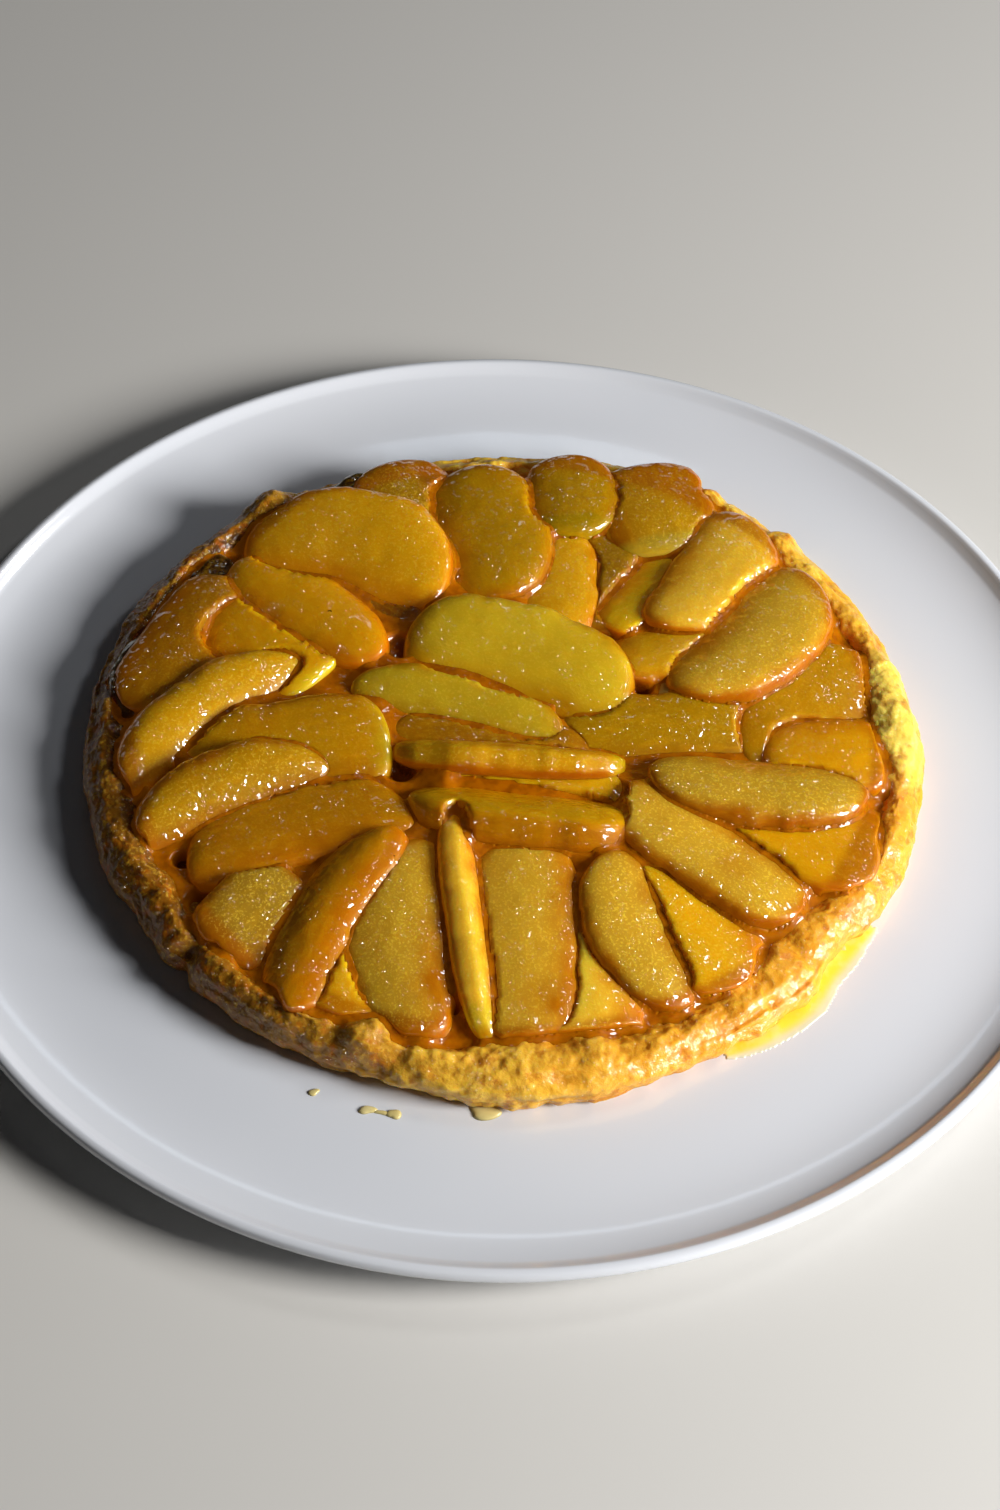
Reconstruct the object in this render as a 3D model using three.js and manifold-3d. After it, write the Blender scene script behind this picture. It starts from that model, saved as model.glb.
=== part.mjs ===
// A tarte tatin on its serving plate: caramelised apple slices on a disc of pastry
// with a raised rim, lying on a shallow round plate. Millimetres, +Z up. The origin is
// the centre of the plate's foot ring, on the surface that the plate stands on. The
// tart is built in a frame of its own, whose origin lies on the plate's surface.

import * as THREE from 'three';
import { mergeVertices } from 'three/addons/utils/BufferGeometryUtils.js';
import Module from 'manifold-3d';

const wasm = await Module();
wasm.setup();

// ---- Driving dimensions ----------------------------------------------------------

const GAP = 0.35; // left between pieces that touch

// Plate: a wide flat well that sweeps up late to a low rounded lip.
const PLATE_RADIUS = 174.5;
const PLATE_HEIGHT = 14.5;
const PLATE_WELL_RADIUS = 134;
const PLATE_WELL_HEIGHT = 8.3;
const PLATE_THICKNESS = 5;
const PLATE_LIP_WIDTH = 4.6; // from the lip's edge to where the side meets it
const PLATE_SWEEP_POWER = 3.4; // how late the side rises
const LIP_CREST_WIDTH = 2.6; // from the lip's edge to its highest ring
const LIP_ROUNDING = 0.8;
const LIP_SHOULDER = 0.4; // how far the rounded shoulder lies below the crest
const LIP_EDGE_DEPTH = 2.2; // how far the widest ring lies below the crest
const LIP_UNDERCUT = 1.6; // how far the outer side stops short of the lip's edge
const FOOT_RADIUS = 92;
const FOOT_WIDTH = 5;
const FOOT_TAPER = 1; // how far each side of the foot slopes in
const FOOT_HEIGHT = 3.3;
const PLATE_SEGMENTS = 60;
const PLATE_SIDE_STEPS = 5;

// Pastry: a disc with a thick uneven rim round a flat bed.
const TART_PLACE = new THREE.Vector3(0, 5.3, PLATE_WELL_HEIGHT);
const TART_CENTRE = new THREE.Vector2(0.6, 0);
const TART_RADIUS = 122.5;
const RIM_WIDTH = 12;
const RIM_HEIGHT = 13; // crest above the plate
const BED_HEIGHT = 6.5; // top of the pastry under the fruit, above the plate
const BASE_HEIGHT = GAP;
const ROOM_TOP = 64; // above everything
const PASTRY_SEGMENTS = 84;
const ROOM_SEGMENTS = 48;
const CRAG_DEPTH = 0.9;

// The pastry's profile, from the middle of its base round the rim. Columns: the edge
// that the point keeps to and how far outside it, the level and how far above it, and
// the share of the crags' depth.
const PASTRY_PROFILE = [
  ['axis', 0, 'base', 0, 0],
  ['outer', -5, 'base', 0, 0],
  ['outer', -1.2, 'base', 1.6, 0.5],
  ['outer', 0, 'base', 4, 0.6],
  ['outer', -0.6, 'base', 7.5, 1],
  ['outer', -2.6, 'crest', -2.4, 1],
  ['outer', -5.5, 'crest', -0.5, 0.7],
  ['outer', -9, 'crest', 0, 0.5],
  ['inner', 2, 'crest', -0.8, 0.5],
  ['inner', -3, 'crest', -3, 0],
  ['axis', 0, 'bed', 2, 0],
];

// The room for the fruit: the dish inside the rim, open above the crest.
const ROOM_PROFILE = [
  ['axis', 0, 'bed', 0, 0],
  ['inner', -4, 'bed', 0, 0],
  ['inner', -0.5, 'bed', 3.5, 0],
  ['inner', 1.5, 'crest', -1.5, 0],
  ['inner', 5, 'crest', 1.2, 0],
  ['outer', 12, 'crest', 2.6, 0],
  ['outer', 12, 'top', 0, 0],
  ['axis', 0, 'top', 0, 0],
];

// Fruit: each slice is a wedge of a cored apple with soft rounded corners.
const SLICE_SIDES = 8;
const SLICE_RINGS = 7;
const END_POWER = 2.8; // above 2 the ends are blunter than an ellipse
const THICKNESS_POWER = 3.2;
const CORNER_ACROSS = 0.7; // below 1 the section is boxier than an ellipse
const CORNER_FACE = 0.62;
const CLEARANCE_HEIGHT = 40; // nothing lower reaches over a piece that lies on it
const UPWARD = 0.02;
const TIP_FULLNESS = 0.05;
const TOP_FLATNESS = 0.5; // below 1 the upper face stays level nearly to the tips
const CORE_STRAIGHTNESS = 1.6; // above 1 the core side is straighter than the skin side

// Uneven places of the rim. at: degrees round the tart from +X, wide: degrees to each
// side, out: mm added to the outer radius, up: mm added to the crest, inward: mm added
// to the rim's width.
const RIM_PLACES = [
  { name: 'puffy roll', at: 5, wide: 14, out: 0.5, up: 1.5, inward: 3 },
  { name: 'broad front right', at: -43, wide: 26, out: 0, up: -1, inward: 6 },
  { name: 'hollow over the syrup', at: -37, wide: 9, out: -3, up: 0, inward: -1 },
  { name: 'full front', at: -84, wide: 24, out: 2.5, up: 0, inward: 4 },
  { name: 'front crag', at: -108, wide: 5, out: 0, up: 2.5, inward: 4 },
  { name: 'thin edge', at: -122, wide: 12, out: 0.5, up: -0.5, inward: -1 },
  { name: 'split edge', at: -137, wide: 3, out: -2, up: -2.5, inward: 0 },
  { name: 'flap left of the split', at: -147, wide: 9, out: -2, up: 1.5, inward: 1 },
  { name: 'full left', at: 165, wide: 40, out: 2.5, up: -1, inward: 0 },
  { name: 'crag behind left', at: 129, wide: 6, out: 1, up: 5, inward: 2 },
  { name: 'sunk back', at: 104, wide: 30, out: -2.5, up: -2.5, inward: -3 },
  { name: 'small crag', at: 44, wide: 3, out: 2, up: 1.5, inward: 0 },
  { name: 'second small crag', at: 58, wide: 3, out: 1.5, up: 1.5, inward: 0 },
];

// The slices, from the top one down: each is cut back where an earlier one lies on it.
// Columns: name; x, y, z of the first tip; x, y, z of the second tip; width from core
// to skin; thickness at the skin and at the core; roll in degrees, which lifts the
// skin side; bow of the line between the tips towards the skin; share of the width on
// the core side of the tips. The skin is on the left, seen from the first tip.
const SLICES = [
  ['front_5', [-3, -109, 11], [-14, -33, 15], 15, 13, 8, 74, -1, 0.5],
  ['left_4', [-105, -43, 9], [-50, -15, 13], 18, 15, 9, 30, 5, 0.4],
  ['left_2', [-110, -24, 9], [-60, 26, 12], 19, 16, 9, 20, 5, 0.4],
  ['left_3', [-94, -16, 9], [-32, -7, 14], 29, 14, 10, 14, 0, 0.4, 2.4, 7],
  ['centre_1', [-29, 36, 14], [38, 12, 15], 32, 16, 12, 13, 0, 0.42, 4, 2.6],
  ['centre_4', [36, -14, 14], [-32, -10, 14], 15, 13, 8, 60, 1, 0.5, 4, 3],
  ['centre_6', [37, -37, 15], [-27, -29, 14], 22, 15, 10, 32, 0, 0.48, 5, 2.6],
  ['centre_2', [-45, 16, 13], [18, -2, 14], 16, 13, 8, 20, 1, 0.4, 3, 2.2],
  ['centre_3', [-34, -2, 11], [26, -9, 12], 22, 12, 8, 10, 0, 0.5],
  ['centre_5', [-22, -21, 11], [38, -24, 12], 20, 12, 8, 10, 0, 0.5],
  ['front_8', [50, -98, 11], [31, -47, 16], 19, 13, 8, 6, 4, 0.45],
  ['front_2', [-57, -106, 11], [-29, -41, 17], 19, 16, 9, -18, 6, 0.4],
  ['right_3', [106, -22, 13], [42, -17, 16], 20, 13, 8, 10, 0, 0.3],
  ['right_1', [90, 66, 13], [51, 13, 16], 27, 15, 9, 6, 5, 0.38, 3, 2.6],
  ['back_8', [71, 90, 13], [46, 39, 16], 26, 15, 9, 0, 4, 0.36],
  ['left_back_1', [-80, 77, 10], [-17, 55, 16], 33, 16, 10, 14, 4, 0.4, 2.4, 3],
  ['left_back_2', [-83, 66, 11], [-36, 26, 15], 20, 15, 9, 4, 0, 0.5, 3, 2.6],
  ['right_5', [84, -66, 12], [34, -23, 15], 23, 15, 9, 8, 0, 0.42, 2.6, 4],
  ['back_4', [19, 115, 12], [22, 78, 14], 22, 13, 9, 0, 0, 0.5],
  ['front_4', [-19, -110, 11], [-23, -43, 14], 24, 15, 9, -6, 4, 0.35, 2.6, 3.2],
  ['left_5', [-88, -54, 9], [-24, -36, 14], 28, 14, 9, -6, 3, 0.22, 2.6, 2.6],
  ['right_7', [115, -6, 11], [76, -8, 11], 24, 12, 8, 0, 0, 0.5],
  ['right_2', [77, -14, 7], [106, 34, 12], 30, 14, 9, 8, 2, 0.5],
  ['front_6', [8, -111, 11], [6, -42, 14], 24, 14, 9, -5, 0, 0.5, 3.4, 5],
  ['back_7', [41, 111, 12], [51, 72, 13], 29, 14, 9, 0, 0, 0.5, 5, 2.4],
  ['right_4', [16, -1, 12], [76, 5, 11], 20, 14, 8, 12, 0, 0.5],
  ['back_2', [-11, 110, 11], [1, 51, 14], 29, 15, 9, 6, 0, 0.5],
  ['front_9', [68, -90, 10], [40, -48, 13], 25, 13, 8, 6, 2, 0.5, 4, 2.6],
  ['front_7', [26, -111, 10], [19, -58, 12], 24, 13, 9, 0, 0, 0.5, 7, 2.6],
  ['back_9', [67, 47, 11], [32, 23, 13], 19, 14, 9, 10, 2, 0.5],
  ['left_back_3', [-86, 48, 10], [-54, 18, 12], 26, 14, 10, 8, 0, 0.5, 2.6, 7],
  ['back_6', [56, 76, 10], [32, 40, 12], 20, 13, 8, 6, 2, 0.4],
  ['back_3', [16, 85, 10], [15, 34, 12], 19, 13, 9, 4, 0, 0.5],
  ['back_5', [37, 94, 10], [29, 40, 11], 27, 11, 8, 0, 0, 0.5],
  ['right_6', [113, -44, 10], [58, -28, 11], 28, 13, 9, 6, 0, 0.5, 4, 2.6],
  ['back_1', [-17, 46, 10], [-36, 112, 11], 26, 13, 9, 0, 2, 0.5, 2.6, 6],
  ['left_back_4', [-74, 64, 9], [-24, 32, 11], 30, 11, 8, 6, 0, 0.5],
  ['left_1', [-85, 60, 11], [-109, 6, 10], 22, 15, 9, 2, 0, 0.5],
  ['front_3', [-43, -107, 10], [-41, -70, 11], 19, 13, 9, 0, 0, 0.5, 7, 2.6],
  ['front_1', [-78, -81, 10], [-58, -54, 11], 20, 13, 8, 10, 0, 0.5, 5, 2.6],
  ['left_back_5', [-76, 82, 8], [-36, 104, 10], 22, 11, 8, 0, 0, 0.5],
  ['left_0', [-88, 72, 9], [-116, 6, 9], 28, 12, 8, 0, 0, 0.5],
];

// ---- Small helpers ---------------------------------------------------------------

const radians = THREE.MathUtils.degToRad;
const mix = THREE.MathUtils.lerp;

function signedPower(value, power) {
  return Math.sign(value) * Math.abs(value) ** power;
}

// A soft bump: 1 at the middle, 0 from one width away.
function bump(distance, width) {
  const t = Math.min(Math.abs(distance) / width, 1);
  return (1 - t * t) ** 2;
}

function weldedGeometry(geometry) {
  geometry.deleteAttribute('normal');
  geometry.deleteAttribute('uv');
  return mergeVertices(geometry, 1e-4);
}

function solidFrom(geometry) {
  const welded = weldedGeometry(geometry);
  const vertProperties = new Float32Array(welded.attributes.position.array);
  const triVerts = new Uint32Array(welded.index.array);
  return new wasm.Manifold(new wasm.Mesh({ numProp: 3, vertProperties, triVerts }));
}

function geometryFrom(solid) {
  const { vertProperties, triVerts, numProp } = solid.getMesh();
  const positions = [];
  for (let i = 0; i < vertProperties.length; i += numProp) {
    positions.push(...vertProperties.slice(i, i + 3));
  }
  const geometry = new THREE.BufferGeometry();
  geometry.setAttribute('position', new THREE.Float32BufferAttribute(positions, 3));
  geometry.setIndex([...triVerts]);
  geometry.computeVertexNormals();
  return geometry;
}

function largestPiece(solid) {
  const pieces = solid.decompose();
  return pieces.reduce((best, piece) => (piece.volume() > best.volume() ? piece : best));
}

// Moves every vertex of a geometry to where a rule sends it.
function reshaped(geometry, rule) {
  const position = geometry.attributes.position;
  const point = new THREE.Vector3();
  for (let i = 0; i < position.count; i += 1) {
    point.fromBufferAttribute(position, i);
    rule(point);
    position.setXYZ(i, point.x, point.y, point.z);
  }
  return geometry;
}

function turned(profile, segments) {
  const geometry = new THREE.LatheGeometry(profile, segments);
  geometry.rotateX(Math.PI / 2);
  return geometry;
}

// ---- Plate -----------------------------------------------------------------------

function plateTop(radius) {
  const t = Math.max(radius - PLATE_WELL_RADIUS, 0) / (PLATE_RADIUS - PLATE_WELL_RADIUS);
  return mix(PLATE_WELL_HEIGHT, PLATE_HEIGHT, t ** PLATE_SWEEP_POWER);
}

function plateProfile() {
  const lipInside = PLATE_RADIUS - PLATE_LIP_WIDTH;
  const sideEdge = PLATE_RADIUS - LIP_UNDERCUT;
  const under = FOOT_HEIGHT;
  const profile = [
    new THREE.Vector2(0, under),
    new THREE.Vector2(FOOT_RADIUS - FOOT_WIDTH, under),
    new THREE.Vector2(FOOT_RADIUS - FOOT_WIDTH + FOOT_TAPER, 0),
    new THREE.Vector2(FOOT_RADIUS - FOOT_TAPER, 0),
    new THREE.Vector2(FOOT_RADIUS, under),
  ];
  for (let i = 1; i <= PLATE_SIDE_STEPS; i += 1) {
    const radius = mix(PLATE_WELL_RADIUS, sideEdge, i / PLATE_SIDE_STEPS);
    profile.push(new THREE.Vector2(radius, plateTop(radius) - PLATE_THICKNESS));
  }
  profile.push(new THREE.Vector2(PLATE_RADIUS, PLATE_HEIGHT - LIP_EDGE_DEPTH));
  profile.push(new THREE.Vector2(PLATE_RADIUS - LIP_ROUNDING, PLATE_HEIGHT - LIP_SHOULDER));
  profile.push(new THREE.Vector2(PLATE_RADIUS - LIP_CREST_WIDTH, PLATE_HEIGHT));
  for (let i = PLATE_SIDE_STEPS; i >= 0; i -= 1) {
    const radius = mix(PLATE_WELL_RADIUS, lipInside, i / PLATE_SIDE_STEPS);
    profile.push(new THREE.Vector2(radius, plateTop(radius)));
  }
  profile.push(new THREE.Vector2(0, PLATE_WELL_HEIGHT));
  return profile;
}

// ---- Pastry ----------------------------------------------------------------------

// The rim's outer radius, inner radius and crest height at an angle, in radians.
function rimAt(angle) {
  const rim = {
    outer: TART_RADIUS + 0.5 * Math.sin(5 * angle + 2.1),
    crest: RIM_HEIGHT + 0.6 * Math.sin(3 * angle + 1.2) + 0.5 * Math.sin(8 * angle),
    width: RIM_WIDTH + 1.2 * Math.sin(4 * angle + 0.4) + 0.8 * Math.sin(9 * angle + 2),
  };
  for (const place of RIM_PLACES) {
    const away = radians(place.at) - angle;
    const wrapped = Math.atan2(Math.sin(away), Math.cos(away));
    const share = bump(wrapped, radians(place.wide));
    rim.outer += place.out * share;
    rim.crest += place.up * share;
    rim.width += place.inward * share;
  }
  rim.inner = rim.outer - rim.width;
  return rim;
}

// Crags of the baked side and crest: a few waves that never line up.
function crags(angle, height) {
  const fine = Math.sin(23 * angle + 0.5 * height) * Math.sin(14 * angle - 0.7 * height);
  const coarse = Math.sin(9 * angle + 0.3 * height + 1) * Math.sin(17 * angle - 2);
  return CRAG_DEPTH * (fine + coarse);
}

// Turns a profile round the tart's centre, following its uneven rim. An inset draws the
// inner edge in and lifts the surface.
function turnedRoundTart(profile, segments, inset) {
  const plain = profile.map(([edge], row) => new THREE.Vector2(edge === 'axis' ? 0 : 1, row));
  return solidFrom(reshaped(turned(plain, segments), (point) => {
    const [edge, out, level, up, rough] = profile[Math.round(point.z)];
    const angle = Math.atan2(point.y, point.x);
    const rim = rimAt(angle);
    const radii = { axis: 0, inner: rim.inner - inset, outer: rim.outer };
    const lift = level === 'top' ? 0 : inset;
    const levels = { base: BASE_HEIGHT, bed: BED_HEIGHT, crest: rim.crest, top: ROOM_TOP };
    const height = levels[level] + up + lift;
    const relief = rough * crags(angle, height);
    const radius = radii[edge] + out + relief;
    const raised = level === 'crest' ? height + relief / 2 : height;
    point.set(
      TART_CENTRE.x + radius * Math.cos(angle),
      TART_CENTRE.y + radius * Math.sin(angle),
      raised,
    );
  }));
}

// ---- Fruit -----------------------------------------------------------------------

// How full a slice is at a share of its half length: 1 in the middle, 0 at a tip.
function fullness(share, power) {
  return Math.sqrt(Math.max(1 - Math.abs(share) ** power, 0));
}

// One slice, grown by some mm on every side. With a clearance its upper half is raised,
// which makes the part of its cutter that clears the space above it.
function sliceSolid(row, grow, clearance) {
  const [, first, second, width, thick, thin, rollDegrees, bow, coreShare] = row;
  const [, , , , , , , , , firstPower = END_POWER, secondPower = END_POWER] = row;
  const from = new THREE.Vector3(...first);
  const to = new THREE.Vector3(...second);
  const middle = from.clone().add(to).multiplyScalar(0.5);
  const along = to.clone().sub(from).normalize();
  const halfLength = from.distanceTo(to) / 2 + grow;
  const level = new THREE.Vector3(-along.y, along.x, 0).normalize();
  const roll = radians(rollDegrees);
  const skinward = level.clone().applyAxisAngle(along, roll);
  const faceward = new THREE.Vector3().crossVectors(along, skinward);

  const sphere = new THREE.SphereGeometry(1, SLICE_SIDES, SLICE_RINGS);
  return solidFrom(reshaped(sphere, (point) => {
    const share = THREE.MathUtils.clamp(point.y, -1, 1);
    const turn = Math.atan2(-point.z, point.x);
    const power = share < 0 ? firstPower : secondPower;
    const full = fullness(share, power);
    const across = signedPower(Math.cos(turn), CORNER_ACROSS);
    const face = signedPower(Math.sin(turn), CORNER_FACE);
    const skinReach = (width * (1 - coreShare) + grow) * full;
    const coreReach = (width * coreShare + grow) * fullness(share, power * CORE_STRAIGHTNESS);
    const reach = mix(-coreReach, skinReach, (across + 1) / 2) + bow * (1 - share * share);
    const thickness = mix(thin, thick, (across + 1) / 2) + 2 * grow;
    const flatness = face > 0 ? TOP_FLATNESS : 1;
    const depth = face * fullness(share, THICKNESS_POWER) ** flatness * thickness / 2;
    point.copy(middle)
      .addScaledVector(along, share * halfLength)
      .addScaledVector(skinward, reach)
      .addScaledVector(faceward, depth);
    const facesUp = face * faceward.z + across * skinward.z > UPWARD;
    if (facesUp && full > TIP_FULLNESS) {
      point.z += clearance;
    }
  }));
}

// ---- Assembly --------------------------------------------------------------------

const GLAZED_WHITE = { color: 0xcfd1d6, roughness: 0.12, metalness: 0 };
const BAKED_PASTRY = { color: 0xd69a3c, roughness: 0.42, metalness: 0 };
const COOKED_APPLE = { color: 0xc8961e, roughness: 0.2, metalness: 0 };

const plated = new THREE.Group();
const tart = new THREE.Group();
tart.position.copy(TART_PLACE);

function addPiece(group, name, geometry, finish) {
  const piece = new THREE.Mesh(geometry, new THREE.MeshStandardMaterial(finish));
  piece.name = name;
  group.add(piece);
}

const plate = weldedGeometry(turned(plateProfile(), PLATE_SEGMENTS));
addPiece(plated, 'plate', plate, GLAZED_WHITE);
plated.add(tart);

const pastry = turnedRoundTart(PASTRY_PROFILE, PASTRY_SEGMENTS, 0)
  .subtract(turnedRoundTart(ROOM_PROFILE, ROOM_SEGMENTS, 0));
addPiece(tart, 'pastry', geometryFrom(pastry), BAKED_PASTRY);

const room = turnedRoundTart(ROOM_PROFILE, ROOM_SEGMENTS, GAP);
const cutters = SLICES.map((row) => (
  sliceSolid(row, GAP, 0).add(sliceSolid(row, GAP, CLEARANCE_HEIGHT))
));
SLICES.forEach((row, index) => {
  let slice = sliceSolid(row, 0, 0).intersect(room);
  for (const cutter of cutters.slice(0, index)) {
    slice = slice.subtract(cutter);
  }
  const name = `apple_slice_${row[0]}`;
  addPiece(tart, name, geometryFrom(largestPiece(slice)), COOKED_APPLE);
});

export default plated;
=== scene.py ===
"""The looks of a tarte tatin on its plate: fine surfaces and materials for every piece.

The shapes are worked out in millimetres, from the same sizes and rules as the solids
that they replace, and written to Blender in metres. The tart has a frame of its own,
whose origin lies on the plate's surface.
"""

import math
from collections import namedtuple

import bpy
import numpy as np
from mathutils import Matrix, Vector
from mathutils.bvhtree import BVHTree


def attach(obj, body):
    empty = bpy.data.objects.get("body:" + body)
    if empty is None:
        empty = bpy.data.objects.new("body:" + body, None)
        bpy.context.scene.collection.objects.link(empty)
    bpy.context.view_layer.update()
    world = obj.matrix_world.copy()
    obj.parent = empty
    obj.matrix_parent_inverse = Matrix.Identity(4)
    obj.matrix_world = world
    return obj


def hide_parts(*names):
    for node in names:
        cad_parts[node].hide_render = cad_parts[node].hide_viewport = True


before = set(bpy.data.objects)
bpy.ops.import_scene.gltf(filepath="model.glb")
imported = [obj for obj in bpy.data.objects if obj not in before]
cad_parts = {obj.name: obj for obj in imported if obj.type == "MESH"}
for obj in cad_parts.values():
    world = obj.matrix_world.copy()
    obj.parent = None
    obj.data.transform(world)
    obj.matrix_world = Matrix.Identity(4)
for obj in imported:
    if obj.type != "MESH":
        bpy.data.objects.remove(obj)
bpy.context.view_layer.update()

# ---- Sizes, in millimetres ---------------------------------------------------------

MM = 0.001

PLATE_RADIUS = 174.5
PLATE_HEIGHT = 14.5
PLATE_WELL_RADIUS = 134
PLATE_WELL_HEIGHT = 8.3
PLATE_THICKNESS = 5
PLATE_LIP_WIDTH = 4.6
PLATE_SWEEP_POWER = 3.4
PLATE_COLUMNS = 256
FOOT_RADIUS = 92
FOOT_WIDTH = 5
FOOT_HEIGHT = 3.3

TART_PLACE = np.array([0, 5.3, PLATE_WELL_HEIGHT])
TART_CENTRE = np.array([0.6, 0.0])
TART_RADIUS = 122.5
RIM_WIDTH = 12
RIM_HEIGHT = 13
BED_HEIGHT = 6.5
BASE_HEIGHT = 0.35

# Uneven places of the rim: degrees round the tart, degrees to each side, mm added to
# the outer radius, to the crest and to the rim's width.
RIM_PLACES = [
    ("puffy roll", 5, 14, 0.5, 1.5, 3),
    ("broad front right", -43, 26, 0, -1, 6),
    ("hollow over the syrup", -37, 9, -3, 0, -1),
    ("full front", -84, 24, 2.5, 0, 4),
    ("front crag", -108, 5, 0, 2.5, 4),
    ("thin edge", -122, 12, 0.5, -0.5, -1),
    ("split edge", -137, 3, -2, -2.5, 0),
    ("flap left of the split", -147, 9, -2, 1.5, 1),
    ("full left", 165, 40, 2.5, -1, 0),
    ("crag behind left", 129, 6, 1, 5, 2),
    ("sunk back", 104, 30, -2.5, -2.5, -3),
    ("small crag", 44, 3, 2, 1.5, 0),
    ("second small crag", 58, 3, 1.5, 1.5, 0),
]

# A slice: its name; first and second tip; width from core to skin; thickness at the
# skin and at the core; roll in degrees; bow; look; how light it is, as a factor on the
# look's linear colours, which for some slices also paints light and shade: raised as
# painted light for front_2 and back_6, which lie in shade, and lowered as painted shade
# for left_0 and left_back_5 on the shaded left; share of the width on the core side; end
# powers of the first and second tip. The skin is on the left, seen from the first tip.
Slice = namedtuple(
    "Slice", "name first second width thick thin roll bow look brightness core_share "
    "first_power second_power", defaults=(1, 0.5, 2.8, 2.8))
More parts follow.
